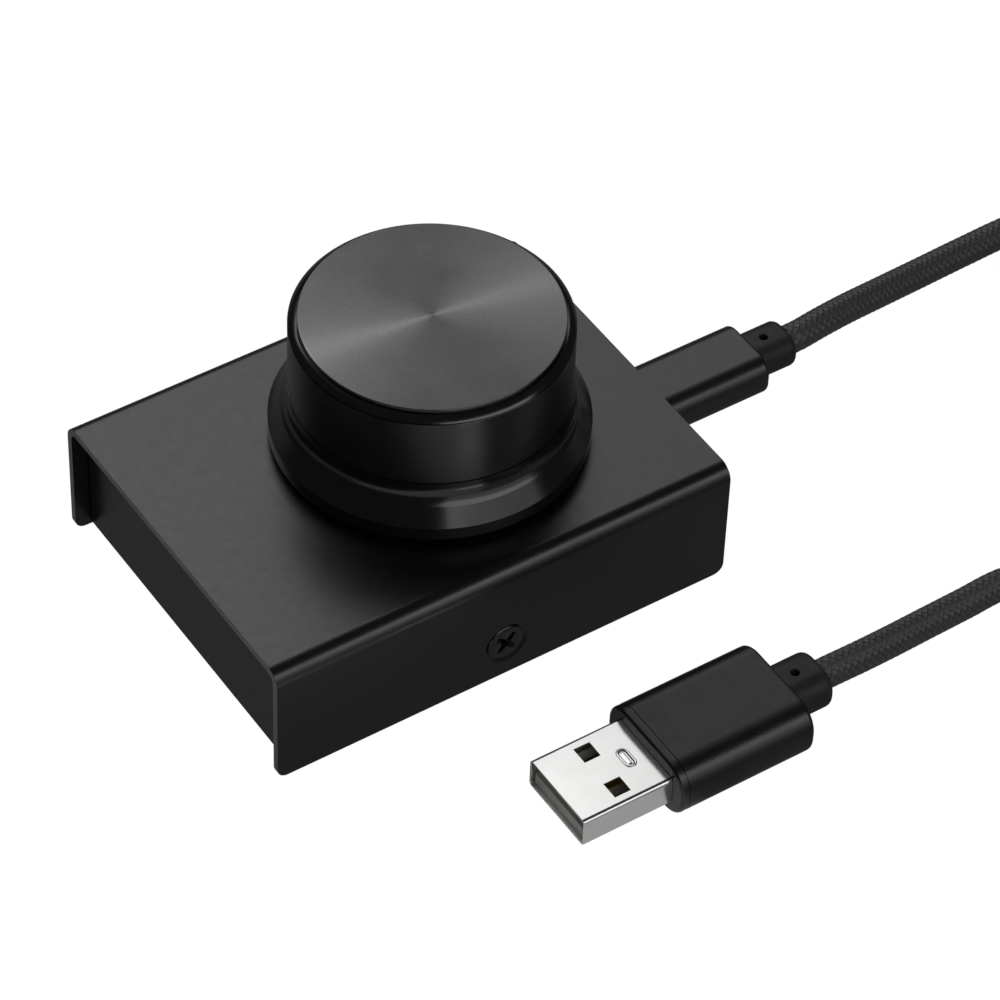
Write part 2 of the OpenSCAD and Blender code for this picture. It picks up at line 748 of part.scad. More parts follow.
module knob_body() {
    floor_z = knob_gap - eps;
    color("#161618") translate([knob_x, knob_y, cover_top]) difference() {
        rotate_extrude($fn = 96) polygon(knob_profile());
        translate([0, 0, crown_z]) cylinder(h = disc_t + 1, r = disc_r + disc_fit, $fn = 96);
        difference() {
            union() {
                translate([0, 0, floor_z])
                    cylinder(h = cavity_top - floor_z, r = grip_r - knob_wall);
                translate([0, 0, floor_z])
                    cylinder(h = neck_z - floor_z - 2, r = grip_r - knob_wall + 1);
            }
            translate([0, 0, hub_z0]) cylinder(h = cavity_top, r = hub_r + boss_wall);
        }
        translate([0, 0, floor_z]) cylinder(h = cavity_top - floor_z, r = hub_r);
    }
}

module knob_top_disc() {
    color("#58585c") translate([knob_x, knob_y, cover_top + crown_z]) rotate_extrude($fn = 96)
        polygon([[0, 0], [disc_r, 0], [disc_r, disc_t - 0.15], [disc_r - 0.15, disc_t],
            [0, disc_t]]);
}

module knob_hub() {
    bore = shaft_d / 2 + 0.02;
    color("#e6e2d6") translate([knob_x, knob_y, cover_top + hub_z0]) difference() {
        cylinder(h = cavity_top - hub_z0, r = hub_r - 0.02);
        translate([0, 0, -eps]) intersection() {
            cylinder(h = hub_grip + eps, r = bore);
            translate([-hub_r, -hub_r, 0])
                cube([2 * hub_r, hub_r + shaft_d / 2 - d_flat + 0.02, hub_grip + eps]);
        }
        // slits that let the hub spring on the shaft
        for (s = [-1, 1]) translate([s * (hub_r + bore) / 2, 0, 2.5])
            cube([1.2, 5, 5 + 2 * eps], center = true);
    }
}

// ---- device plug ----

module device_plug_shell() {
    color("silver") along_x(dplug_x0 - dshell_l, dplug_x0) translate([0, socket_z])
        difference() {
            round_rect(dshell_w, dshell_h, dshell_h / 2 - eps);
            round_rect(dshell_w - 2 * dshell_wall, dshell_h - 2 * dshell_wall,
                dshell_h / 2 - dshell_wall - eps);
        }
}

module device_plug_insert() {
    x0 = dplug_x0 - dshell_l + 0.2;
    color("#1a1a1c") difference() {
        along_x(x0, dplug_x0) translate([0, socket_z])
            round_rect(dshell_w - 2 * dshell_wall, dshell_h - 2 * dshell_wall,
                dshell_h / 2 - dshell_wall - eps);
        translate([x0 - eps, -slot_w / 2, socket_z - slot_h / 2])
            cube([dplug_x0 - slot_floor - x0, slot_w, slot_h]);
    }
}

module device_plug_housing() {
    color("#303032") translate([0, 0, socket_z])
        moulded_bar(dplug_x0, dplug_x1, dplug_w, dplug_t, dplug_r, 0.4, 0.6);
}

// A rounded rubber block behind a plug, with its anchor hole
module strain_relief(x0, x1, w, t, y, z) {
    color("#1b1b1d") difference() {
        translate([0, y, z]) moulded_bar(x0, x1, w, t, t / 2 - relief_flat, relief_root_r, relief_end_r);
        translate([(x0 + x1) / 2 - 0.7, y, z + t / 2 - ring_hole_depth])
            cylinder(h = ring_hole_depth + 1, r = ring_hole_r, $fn = 24);
    }
}

module device_strain_relief() {
    strain_relief(dplug_x1, drelief_x1, drelief_w, drelief_t, 0, socket_z);
}

// ---- computer plug ----

module on_plug() {
    translate([aplug_x, aplug_y, aplug_z]) children();
}

module a_plug_shell() {
    inner = [ashell_w - 2 * ashell_wall, ashell_h - 2 * ashell_wall];
    color("#d9dadc") on_plug() difference() {
        along_x(0, ashell_l) difference() {
            round_rect(ashell_w, ashell_h, ashell_corner_r);
            round_rect(inner[0], inner[1], ashell_corner_r - ashell_wall + eps);
        }
        for (s = [-1, 1]) translate([window_x, s * window_y, 0])
            cube([window[0], window[1], ashell_h + 1], center = true);
        // the dimple over the tongue's latch
        translate([dimple_x, 0, ashell_h / 2 - ashell_wall / 2]) linear_extrude(1)
            rotate(90) round_rect(dimple_l, dimple_w, dimple_w / 2 - eps);
    }
}

module a_plug_tongue() {
    inner_w = ashell_w - 2 * ashell_wall;
    bottom = -ashell_h / 2 + ashell_wall;
    color("#d2d0cb") on_plug() {
        translate([tongue_back, -inner_w / 2 + 0.3, bottom])
            cube([ashell_l - tongue_back, inner_w - 0.6, tongue_a_h]);
        translate([ashell_l - 1.5, -inner_w / 2 + 0.3, bottom])
            cube([1.5, inner_w - 0.6, ashell_h - 2 * ashell_wall]);
    }
}

module a_plug_contacts() {
    top = -ashell_h / 2 + ashell_wall + tongue_a_h;
    color("gold") on_plug() for (y = contact_y) {
        start = abs(y) > 2 ? 1.4 : 2.4;
        translate([start, y - contact_w / 2, top])
            cube([ashell_l - 1.5 - start, contact_w, contact_t]);
    }
}

module a_plug_housing() {
    color("#2a2a2c") translate([0, aplug_y, aplug_z])
        moulded_bar(aplug_x0, aplug_x1, aplug_w, aplug_t, aplug_r, 0.6, 0.7);
}

module a_strain_relief() {
    strain_relief(aplug_x1, arelief_x1, arelief_w, arelief_t, aplug_y, aplug_z);
}

// ---- cord ----

module cord_device_run() {
    color("#202022") tube(device_route, cord_r, run_sides);
}

module cord_plug_run() {
    color("#202022") tube(plug_route, cord_r, run_sides);
}

// Radius, height and place of the coil's axis after t turns: clockwise, in and out again
function coil_radius(t) = coil_r_in + coil_pitch * sqrt(pow(t - coil_half, 2) + 0.01);
function smooth(s) = let (q = min(max(s, 0), 1)) q * q * (3 - 2 * q);
function coil_height(t) = coil_z + coil_pitch * smooth((t - coil_half + 0.25) * 2);
function coil_point(t) = [
    coil_c[0] + coil_radius(t) * cos(-360 * t),
    coil_c[1] + coil_radius(t) * sin(-360 * t),
    coil_height(t)
];

coil_steps = floor(coil_turns * coil_rings);
coil_body = [for (i = [0 : coil_steps]) coil_point(i / coil_rings)];
coil_start = device_route[len(device_route) - 1];
coil_end = plug_route[0];
coil_route = [
    coil_start,
    each [for (i = [1 : coil_steps - 1]) coil_body[i]],
    [coil_end[0] + cord_d, coil_end[1], coil_end[2]],
    coil_end
];

// Least distance between stretches of the coil that are more than half a turn apart
coil_gap = min([for (i = [0 : len(coil_body) - 1], j = [i + floor(coil_rings / 2) : len(coil_body) - 1])
    norm(coil_body[i] - coil_body[j])]) - cord_d;
echo(coil_gap = coil_gap);

module cord_coil() {
    color("#202022") tube(coil_route, cord_r, coil_sides);
}

module cord_tie() {
    turns_w = coil_r_out - coil_r_in;
    inner = [turns_w + cord_d + 2 * tie_gap, coil_pitch + cord_d + 2 * tie_gap];
    mid = (coil_r_out + coil_r_in) / 2;
    color("#2a2a2e") translate([coil_c[0], coil_c[1], coil_z + coil_pitch / 2])
        rotate([0, 0, tie_angle]) translate([mid, 0, 0]) rotate([90, 0, 0])
            linear_extrude(tie_w, center = true) difference() {
                round_rect(inner[0] + 2 * tie_t, inner[1] + 2 * tie_t, 2.4);
                round_rect(inner[0], inner[1], 2.4 - tie_t);
            }
}

top_cover();
base_tray();
cover_screw(-1);  // cover_screw_front
cover_screw(1);  // cover_screw_back
foot(-1, -1);  // foot_front_left
foot(1, -1);  // foot_front_right
foot(-1, 1);  // foot_back_left
foot(1, 1);  // foot_back_right
pcb_standoffs();
pcb();
pcb_screws();
controller_chip();
crystal_can();
chip_passives();
usb_socket_shell();
usb_socket_tongue();
switch_case();
switch_dome();
switch_plunger();
encoder_base();
encoder_frame();
encoder_bushing();
encoder_rotor();
encoder_detent_spring();
encoder_terminals();
encoder_shaft();
shaft_clip();
knob_body();
knob_top_disc();
knob_hub();
device_plug_shell();
device_plug_insert();
device_plug_housing();
device_strain_relief();
cord_device_run();
cord_coil();
cord_tie();
cord_plug_run();
a_plug_shell();
a_plug_tongue();
a_plug_contacts();
a_plug_housing();
a_strain_relief();
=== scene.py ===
# USB volume control knob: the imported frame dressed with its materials, turned and moulded pieces and
# its braided cord, on a floor that the camera sees as white. Metres, in the frame's own axes, unless
# a comment gives mm.
import json
import math

import bmesh
import bpy
import numpy as np
from mathutils import Matrix, Vector


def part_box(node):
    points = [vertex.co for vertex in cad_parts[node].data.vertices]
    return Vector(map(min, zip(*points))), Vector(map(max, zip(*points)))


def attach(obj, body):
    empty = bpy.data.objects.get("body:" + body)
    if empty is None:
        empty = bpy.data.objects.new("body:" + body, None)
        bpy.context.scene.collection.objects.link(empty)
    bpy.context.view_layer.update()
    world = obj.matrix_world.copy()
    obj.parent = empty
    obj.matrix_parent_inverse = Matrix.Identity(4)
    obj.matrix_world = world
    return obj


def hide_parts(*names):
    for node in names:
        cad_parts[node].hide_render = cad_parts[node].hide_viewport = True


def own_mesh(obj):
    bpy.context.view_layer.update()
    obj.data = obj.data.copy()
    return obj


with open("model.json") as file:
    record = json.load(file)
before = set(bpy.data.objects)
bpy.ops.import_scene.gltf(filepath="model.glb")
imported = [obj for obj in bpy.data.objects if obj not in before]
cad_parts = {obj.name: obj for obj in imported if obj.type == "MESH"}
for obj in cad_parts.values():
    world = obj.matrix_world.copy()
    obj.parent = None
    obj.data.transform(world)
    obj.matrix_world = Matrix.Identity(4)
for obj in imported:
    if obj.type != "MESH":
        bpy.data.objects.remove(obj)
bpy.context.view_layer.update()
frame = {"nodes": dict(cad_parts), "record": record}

MM = 0.001
RECORD_SLOT = {p["node"]: p["material_slot"] for p in frame["record"]["subparts"]}
BODY_OF = {n: b for b, nodes in frame["record"]["behaviour"]["bodies"].items() for n in nodes}

# ---- camera: fitted to the photograph ----

TARGET = Vector((0.005677, -0.014773, 0.019942))
DISTANCE = 0.5933
YAW = math.radians(-34.82)
ELEVATION = math.radians(45.82)
ROLL = math.radians(2.24)
LENS = 170.487

back = Vector((math.sin(YAW) * math.cos(ELEVATION),
               -math.cos(YAW) * math.cos(ELEVATION),
               math.sin(ELEVATION)))
right = (-back).cross(Vector((0, 0, 1))).normalized()
up = right.cross(-back)
rolled_right = math.cos(ROLL) * right + math.sin(ROLL) * up
rolled_up = -math.sin(ROLL) * right + math.cos(ROLL) * up
camera = bpy.data.objects.new("camera", bpy.data.cameras.new("camera"))
camera.data.sensor_width = 36
camera.data.lens = LENS
camera.data.clip_start = 0.01
camera.data.clip_end = 20
camera.matrix_world = Matrix.Translation(TARGET + back * DISTANCE) @ Matrix(
    (rolled_right, rolled_up, back)).transposed().to_4x4()
bpy.context.collection.objects.link(camera)
bpy.context.scene.camera = camera

# ---- light and floor ----

ROOM_LIGHT = 0.03


def world_light():
    """A dim grey room, which the camera sees as white."""
    world = bpy.data.worlds.new("studio")
    bpy.context.scene.world = world
    world.use_nodes = True
    tree = world.node_tree
    background = tree.nodes["Background"]
    background.inputs["Color"].default_value = (1, 1, 1, 1)
    path = tree.nodes.new("ShaderNodeLightPath")
    seen = tree.nodes.new("ShaderNodeMix")
    seen.inputs["A"].default_value = ROOM_LIGHT
    seen.inputs["B"].default_value = 1.0
    tree.links.new(path.outputs["Is Camera Ray"], seen.inputs["Factor"])
    tree.links.new(seen.outputs["Result"], background.inputs["Strength"])


def softbox(name, centre, width, height, radiance):
    """A softbox in metres that leans towards the object, with its width along X."""
    centre = Vector(centre)
    data = bpy.data.lights.new(name, "AREA")
    data.shape = "RECTANGLE"
    data.size = width
    data.size_y = height
    data.energy = math.pi * width * height * radiance
    light = bpy.data.objects.new(name, data)
    lean = -math.atan2(centre.y, centre.z)
    light.matrix_world = Matrix.Translation(centre) @ Matrix.Rotation(lean, 4, "X")
    light.visible_camera = False
    bpy.context.collection.objects.link(light)
    return light


bpy.context.scene.view_settings.view_transform = "Standard"
world_light()
softbox("softbox_far", (0.0325, 0.4, 0.47), 0.465, 0.42, 1.22)
softbox("softbox_far_right", (0.5325, 0.4, 0.47), 0.535, 0.42, 0.7)
softbox("softbox_front_low", (0.12, -0.53, 0.14), 0.64, 0.2, 0.42)
softbox("softbox_front_high", (0.12, -0.47, 0.33), 0.64, 0.21, 1.2)
streak_light = softbox("softbox_streak", (-0.109, 0.495, 0.553), 0.1, 0.09, 25.0)

# ---- materials ----


class Shader:
    """A material with its Principled shader, and the nodes that feed it."""

    def __init__(self, name, **inputs):
        self.material = bpy.data.materials.new(name)
        self.material.use_nodes = True
        self.tree = self.material.node_tree
        self.bsdf = self.tree.nodes["Principled BSDF"]
        self.feed(self.bsdf, {k.replace("_", " "): v for k, v in inputs.items()})
        self.place = self.node("TexCoord").outputs["Object"]

    def feed(self, node, inputs):
        for key, value in inputs.items():
            if isinstance(value, bpy.types.NodeSocket):
                self.tree.links.new(value, node.inputs[key])
            else:
                node.inputs[key].default_value = value

    def node(self, kind, inputs=(), **settings):
        node = self.tree.nodes.new("ShaderNode" + kind)
        for key, value in settings.items():
            setattr(node, key, value)
        self.feed(node, dict(inputs))
        return node

    def math(self, operation, a, b=0.0):
        return self.node("Math", {0: a, 1: b}, operation=operation).outputs[0]

    def noise(self, scale, detail=2.0, rough=0.5, vector=None, stretch=None):
        vector = vector or self.place
        if stretch:
            vector = self.node("Mapping", {"Vector": vector, "Scale": stretch}).outputs[0]
        return self.node("TexNoise", {"Vector": vector, "Scale": scale, "Detail": detail,
                                      "Roughness": rough}).outputs["Fac"]

    def span(self, value, low, high, start=0.3, end=0.7):
        """The value between start and end, spread over low to high."""
        return self.node("MapRange", {"Value": value, "From Min": start, "From Max": end,
                                      "To Min": low, "To Max": high}).outputs[0]

    def tint(self, value, dark, light):
        """A colour between two, by a value from 0 to 1."""
        mix = self.node("Mix", {"Factor": value}, data_type="RGBA")
        mix.inputs[6].default_value = (*dark, 1)
        mix.inputs[7].default_value = (*light, 1)
        return mix.outputs[2]

    def bump(self, height, distance, strength=1.0):
        old = self.bsdf.inputs["Normal"].links
        inputs = {"Height": height, "Distance": distance, "Strength": strength}
        if old:
            inputs["Normal"] = old[0].from_socket
        self.feed(self.bsdf, {"Normal": self.node("Bump", inputs).outputs[0]})


def grey(value, blue=1.0):
    return (value, value, value * blue)


def powder_coat(name, dark, light, rough, spec, depth=0.000012):
    s = Shader(name, Specular_IOR_Level=spec)
    patches = s.noise(160, 3)
    grain = s.noise(2600, 3)
    s.feed(s.bsdf, {"Base Color": s.tint(s.span(patches, 0, 1), grey(dark), grey(light, 1.03))})
    s.feed(s.bsdf, {"Roughness": s.span(s.noise(700, 3), rough - 0.02, rough + 0.03)})
    s.bump(grain, depth, 0.5)
    return s.material


def printed_moulding(name, dark, light, spec, top):
    """Black moulding with a satin side, and a duller top face over the height top in metres."""
    s = Shader(name, Specular_IOR_Level=spec)
    s.feed(s.bsdf, {"Base Color": s.tint(s.span(s.noise(220, 3), 0, 1), grey(dark), grey(light, 1.02))})
    height = s.node("SeparateXYZ", {"Vector": s.place}).outputs[2]
    dull = s.span(height, 0.3, 0.48, top - 0.0003, top)
    s.feed(s.bsdf, {"Roughness": s.math("ADD", dull, s.span(s.noise(500, 4), -0.02, 0.03))})
    s.bump(s.noise(3200, 3), 0.000022, 0.5)
    return s.material


def anodised(name, dark, light, rough, spec=0.5, fine=9000, depth=0.000004):
    s = Shader(name, Specular_IOR_Level=spec)
    s.feed(s.bsdf, {"Base Color": s.tint(s.span(s.noise(220, 3), 0, 1), grey(dark), grey(light, 1.02))})
    s.feed(s.bsdf, {"Roughness": s.span(s.noise(500, 4), rough - 0.02, rough + 0.03)})
    s.bump(s.noise(fine, 2), depth, 0.4)
    return s.material


def turned_gloss(name):
    """Gloss black anodising over fine marks that run along and round the turned wall."""
    s = Shader(name, Specular_IOR_Level=1.0)
    parts = s.node("SeparateXYZ", {"Vector": s.place}).outputs
    angle = s.math("ARCTAN2", parts[1], parts[0])
    across = s.node("CombineXYZ", {0: s.math("MULTIPLY", angle, 60.0),
                                   1: s.math("MULTIPLY", parts[2], 260.0)})
    marks = s.noise(2.6, 3, 0.6, across.outputs[0])
    s.feed(s.bsdf, {"Base Color": s.tint(s.span(s.noise(240, 3), 0, 1), grey(0.007), grey(0.01, 1.02))})
    over_seam = s.span(parts[2], 0.0, 0.14, 0.0082, 0.0086)
    under_rim = s.span(parts[2], 1.0, 0.0, 0.0183, 0.0186)
    satin = s.math("MULTIPLY", over_seam, under_rim)
    s.feed(s.bsdf, {"Roughness": s.math("ADD", satin, s.span(s.noise(420, 3), 0.15, 0.19))})
    s.bump(marks, 0.000012, 0.2)
    s.bump(s.noise(30, 2, 0.6, s.place, (1, 1, 900)), 0.000002, 0.3)
    return s.material


def spun_disc(name):
    """Dark anodised aluminium, spun in fine rings about the middle."""
    s = Shader(name, Metallic=1.0, Anisotropic=0.9, Anisotropic_Rotation=0.25)
    parts = s.node("SeparateXYZ", {"Vector": s.place}).outputs
    radius = s.math("SQRT", s.math("ADD", s.math("MULTIPLY", parts[0], parts[0]),
                                   s.math("MULTIPLY", parts[1], parts[1])))
    rings = s.noise(9000, 3, 0.6, s.node("CombineXYZ", {0: radius}).outputs[0])
    grains = s.noise(2200, 4, 0.65)
    shade = s.math("ADD", s.math("MULTIPLY", rings, 0.3), s.math("MULTIPLY", grains, 0.7))
    s.feed(s.bsdf, {"Base Color": s.tint(s.span(shade, 0, 1), grey(0.134), grey(0.166, 1.02))})
    s.feed(s.bsdf, {"Roughness": s.span(s.noise(160, 4, 0.6), 0.31, 0.36)})
    s.feed(s.bsdf, {"Tangent": s.node("Tangent", direction_type="RADIAL", axis="Z").outputs[0]})
    s.bump(grains, 0.000006, 0.3)
    return s.material


def moulded(name, dark, light, rough, grain=5000, depth=0.00001, spec=0.4, speck=0.0):
    s = Shader(name, Specular_IOR_Level=spec)
    colour = s.tint(s.span(s.noise(300, 3), 0, 1), dark, light)
    if speck:
        spots = s.span(s.noise(grain * 0.6, 1), 0, speck, 0.62, 0.72)
        mix = s.node("Mix", {"Factor": spots, 6: colour}, data_type="RGBA")
        mix.inputs[7].default_value = (*grey(0.06), 1)
        colour = mix.outputs[2]
    s.feed(s.bsdf, {"Base Color": colour, "Roughness": s.span(s.noise(900, 3), rough - 0.04, rough + 0.05)})
    s.bump(s.noise(grain, 2), depth, 0.5)
    return s.material


def bright_metal(name, colour, rough, stretch=(1, 1, 1), scale=1500, worn=0.06):
    s = Shader(name, Metallic=1.0)
    darker = tuple(c * (1 - worn * 2) for c in colour)
    s.feed(s.bsdf, {"Base Color": s.tint(s.span(s.noise(400, 4), 0, 1), darker, colour)})
    s.feed(s.bsdf, {"Roughness": s.span(s.noise(scale, 4, 0.6, None, stretch), rough, rough + worn)})
    s.bump(s.noise(scale * 2, 3, 0.6, None, stretch), 0.000004, 0.3)
    return s.material


def braid(name):
    """Two sets of nylon strands that cross over and under, each of several fine threads.

    The mesh's map counts strands round the cord and cells along it.
    """
    s = Shader(name, Specular_IOR_Level=1.0, Sheen_Weight=0.06, Sheen_Roughness=0.4)
    s.bsdf.inputs["Sheen Tint"].default_value = (0.5, 0.5, 0.52, 1)
    place = s.node("SeparateXYZ", {"Vector": s.node("UVMap", uv_map="strands").outputs[0]}).outputs
    a = s.math("ADD", place[0], place[1])
    b = s.math("SUBTRACT", place[0], place[1])
    cell = s.math("ADD", s.math("FLOOR", a), s.math("FLOOR", b))
    over = s.math("MULTIPLY", s.math("FRACT", s.math("MULTIPLY", cell, 0.5)), 2.0)

    def choose(one, other):
        return s.node("Mix", {"Factor": over, 2: one, 3: other}).outputs[0]

    across = choose(s.math("FRACT", a), s.math("FRACT", b))
    along = choose(s.math("FRACT", b), s.math("FRACT", a))
    crown = s.math("POWER", s.math("SINE", s.math("MULTIPLY", across, math.pi)), 0.5)
    arch = s.math("SINE", s.math("MULTIPLY", along, math.pi))
    thread = s.math("ABSOLUTE", s.math("SINE", s.math("MULTIPLY", across, math.pi * 4)))
    height = s.math("ADD", s.math("MULTIPLY", crown, 0.5),
                    s.math("ADD", s.math("MULTIPLY", arch, 0.5), s.math("MULTIPLY", thread, 0.22)))
    fuzz = s.noise(9000, 2)
    # Random tone from the fuzz, times painted shade: darker down between the strands and threads, paler on
    # their crowns.
    fuzz_and_valley_shade = s.math("MULTIPLY", s.span(fuzz, 0.5, 1.3), s.span(height, 0.3, 1.0, 0.2, 1.1))
    s.feed(s.bsdf, {"Base Color": s.tint(s.span(fuzz_and_valley_shade, 0, 1, 0, 1), grey(0.007), grey(0.1, 1.02))})
    s.feed(s.bsdf, {"Roughness": s.span(fuzz, 0.3, 0.42)})
    s.bump(height, 0.00012, 1.0)
    s.bump(fuzz, 0.00002, 0.5)
    return s.material


def woven_strap(name):
    s = Shader(name, Specular_IOR_Level=0.3, Sheen_Weight=0.3, Sheen_Roughness=0.5)
    s.bsdf.inputs["Sheen Tint"].default_value = (0.4, 0.4, 0.42, 1)
    loops = s.noise(3500, 4, 0.7)
    s.feed(s.bsdf, {"Base Color": s.tint(s.span(loops, 0, 1), grey(0.008), grey(0.05))})
    s.feed(s.bsdf, {"Roughness": s.span(loops, 0.7, 0.95)})
    s.bump(loops, 0.0002, 0.8)
    return s.material


MATERIALS = {
    "case_black": powder_coat("case_black", dark=0.003, light=0.004, rough=0.31, spec=1.0),
    "tray_black": powder_coat("tray_black", dark=0.003, light=0.004, rough=0.28, spec=1.0,
                              depth=0.000005),
    # Painted highlight: pale grey for the sheet's cut ends, standing in for the light their rounded edges
    # catch.
    "painted_end_highlight": powder_coat("painted_end_highlight", dark=0.36, light=0.44, rough=0.4, spec=0.8, depth=0.000005),
    "screw_black": anodised("screw_black", dark=0.008, light=0.014, rough=0.17, spec=1.0, fine=5000),
    "foot_rubber": moulded("foot_rubber", dark=grey(0.012), light=grey(0.02), rough=0.75),
    "zinc_steel": bright_metal("zinc_steel", colour=(0.62, 0.62, 0.6), rough=0.3),
    "board_green": moulded("board_green", dark=(0.01, 0.07, 0.03), light=(0.02, 0.11, 0.05), rough=0.35,
                           grain=1500, depth=0.00002),
    "chip_plastic": moulded("chip_plastic", dark=grey(0.015), light=grey(0.025), rough=0.5),
    "bright_steel": bright_metal("bright_steel", colour=(0.7, 0.7, 0.69), rough=0.22, stretch=(1, 8, 1)),
    "ceramic": moulded("ceramic", dark=(0.3, 0.2, 0.11), light=(0.45, 0.33, 0.2), rough=0.45,
                       grain=2500),
    "switch_brown": moulded("switch_brown", dark=(0.14, 0.045, 0.025), light=(0.2, 0.07, 0.04),
                            rough=0.45),
    "white_plastic": moulded("white_plastic", dark=(0.62, 0.61, 0.57), light=(0.72, 0.71, 0.67),
                             rough=0.4),
    "tinned": bright_metal("tinned", colour=(0.72, 0.72, 0.68), rough=0.32),
    "shaft_metal": bright_metal("shaft_metal", colour=(0.75, 0.75, 0.76), rough=0.2, stretch=(1, 1, 40)),
    "knob_anodised": turned_gloss("knob_anodised"),
    "disc_spun": spun_disc("disc_spun"),
    "connector_shell": bright_metal("connector_shell", colour=(0.95, 0.95, 0.94), rough=0.18,
                                    stretch=(1, 6, 6), scale=900, worn=0.02),
    "plug_anodised": anodised("plug_anodised", dark=0.005, light=0.008, rough=0.32, spec=1.0, fine=3600,
                              depth=0.000014),
    "plug_moulded": printed_moulding("plug_moulded", dark=0.004, light=0.007, spec=0.9, top=0.0084),
    "relief_rubber": moulded("relief_rubber", dark=grey(0.02), light=grey(0.032), rough=0.5, grain=5000,
                             depth=0.00003, spec=0.5, speck=0.35),
    "cord_braid": braid("cord_braid"),
    "tie_fabric": woven_strap("tie_fabric"),
    "gold_contact": bright_metal("gold_contact", colour=(0.9, 0.66, 0.28), rough=0.2),
}

# ---- pieces ----


def finish_piece(obj, body, slot, nodes=(), sharp=35.0, look=None, even=True):
    """Gives a new piece its material, picked by its look or its slot, and its body, and hides the CAD nodes
    it stands for.

    Even keeps flat faces flat.
    """
    obj.data.shade_smooth()
    obj.data.set_sharp_from_angle(angle=math.radians(sharp))
    if even:
        weighted = obj.modifiers.new("normals", "WEIGHTED_NORMAL")
        weighted.weight = 100
        weighted.keep_sharp = True
        baked(obj)
    obj.data.materials.clear()
    obj.data.materials.append(MATERIALS[look or slot])
    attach(obj, body)
    if nodes:
        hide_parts(*nodes)
    return obj


def mesh_object(name, verts, faces, centre=(0, 0, 0)):
    """A new object from points in metres about its centre, which is also its origin."""
    mesh = bpy.data.meshes.new(name)
    mesh.from_pydata([tuple(v) for v in verts], [], [tuple(f) for f in faces])
    mesh.validate()
    obj = bpy.data.objects.new(name, mesh)
    obj.location = centre
    bpy.context.collection.objects.link(obj)
    return obj


def lathe(name, profile, centre, segments=256):
    """A solid turned about the vertical through centre, from (radius, height) in mm, from pole to pole."""
    verts = [Vector((0, 0, profile[0][1])) * MM]
    rings = []
    for r, z in profile[1:-1]:
        rings.append(len(verts))
        for k in range(segments):
            a = 2 * math.pi * k / segments
            verts.append(Vector((r * math.cos(a), r * math.sin(a), z)) * MM)
    last = len(verts)
    verts.append(Vector((0, 0, profile[-1][1])) * MM)
    faces = []
    for k in range(segments):
        n = (k + 1) % segments
        faces.append((0, rings[0] + k, rings[0] + n))
        for a, b in zip(rings, rings[1:]):
            faces.append((a + k, b + k, b + n, a + n))
        faces.append((last, rings[-1] + n, rings[-1] + k))
    return mesh_object(name, verts, faces, centre)


def arc(cx, cz, rx, rz, a, b, n):
    """Points of an arc about (cx, cz), from angle a to angle b in degrees."""
    turns = [math.radians(a + (b - a) * i / n) for i in range(n + 1)]
    return [(cx + rx * math.cos(turn), cz + rz * math.sin(turn)) for turn in turns]


def corner_loop(w, t, r, n=8):
    """Points of a rectangle with round corners about the origin, counter-clockwise."""
    points = []
    for q in range(4):
        cx = (w / 2 - r) * (1 if q in (0, 3) else -1)
        cy = (t / 2 - r) * (1 if q < 2 else -1)
        points += arc(cx, cy, r, r, q * 90, q * 90 + 90, n)
    return points


def bar(name, w, t, r, centre, stations):
    """A bar along X of rounded section about centre, in mm, from stations of (x, inset)."""
    verts, faces = [], []
    smallest_corner = 0.15
    for x, inset in stations:
        ring = corner_loop(w - 2 * inset, t - 2 * inset, max(r - inset, smallest_corner))
        verts += [Vector((x, centre[0] + p[0], centre[1] + p[1])) * MM for p in ring]
    m = len(ring)
    for i in range(len(stations) - 1):
        for k in range(m):
            a, b = i * m + k, i * m + (k + 1) % m
            faces.append((a, b, b + m, a + m))
    faces.append(tuple(reversed(range(m))))
    faces.append(tuple(range((len(stations) - 1) * m, len(stations) * m)))
    return mesh_object(name, verts, faces)


def drawn_in(x0, x1, edge0, edge1, extra=()):
    """Stations of a bar whose ends draw in by quarter rounds, with (x, inset) pairs in between."""
    quarter = [math.pi / 2 * i / 6 for i in range(7)]
    first = [(x0 + edge0 * (1 - math.cos(a)), edge0 * (1 - math.sin(a))) for a in quarter]
    last = [(x1 - edge1 * (1 - math.cos(a)), edge1 * (1 - math.sin(a))) for a in reversed(quarter)]
    return first + list(extra) + last


def cut_away(obj, cutter):
    """Cuts the cutter's shape out of the piece, once it is baked."""
    cut = obj.modifiers.new("cut", "BOOLEAN")
    cut.object = cutter
    cut.solver = "EXACT"


def round_edges(obj, width, over, segments=2):
    """Rounds the edges that turn by more than an angle, by a width in mm."""
    rounding = obj.modifiers.new("edges", "BEVEL")
    rounding.width = width * MM
    rounding.segments = segments
    rounding.limit_method = "ANGLE"
    rounding.angle_limit = over


def baked(obj):
    """Turns the piece's modifiers into plain mesh."""
    graph = bpy.context.evaluated_depsgraph_get()
    mesh = bpy.data.meshes.new_from_object(obj.evaluated_get(graph))
    obj.modifiers.clear()
    obj.data = mesh


FLAT_WITHIN = math.radians(0.6)
EDGE_OVER = math.radians(28)


def dressed(node, bevel, segments=2, drills=()):
    """A copy of a CAD node with its flat faces joined and its edges rounded, then drilled."""
    source = frame["nodes"][node]
    bm = bmesh.new()
    bm.from_mesh(source.data)
    bmesh.ops.remove_doubles(bm, verts=bm.verts, dist=1e-6)
    bmesh.ops.dissolve_limit(bm, angle_limit=FLAT_WITHIN, verts=bm.verts, edges=bm.edges)
    mesh = bpy.data.meshes.new(node + "_dressed")
    bm.to_mesh(mesh)
    bm.free()
    obj = bpy.data.objects.new(node + "_dressed", mesh)
    bpy.context.collection.objects.link(obj)
    round_edges(obj, bevel, EDGE_OVER, segments)
    for drill in drills:
        cut_away(obj, drill)
    baked(obj)
    for drill in drills:
        bpy.data.objects.remove(drill)
    return finish_piece(obj, BODY_OF[node], RECORD_SLOT[node], (node,))


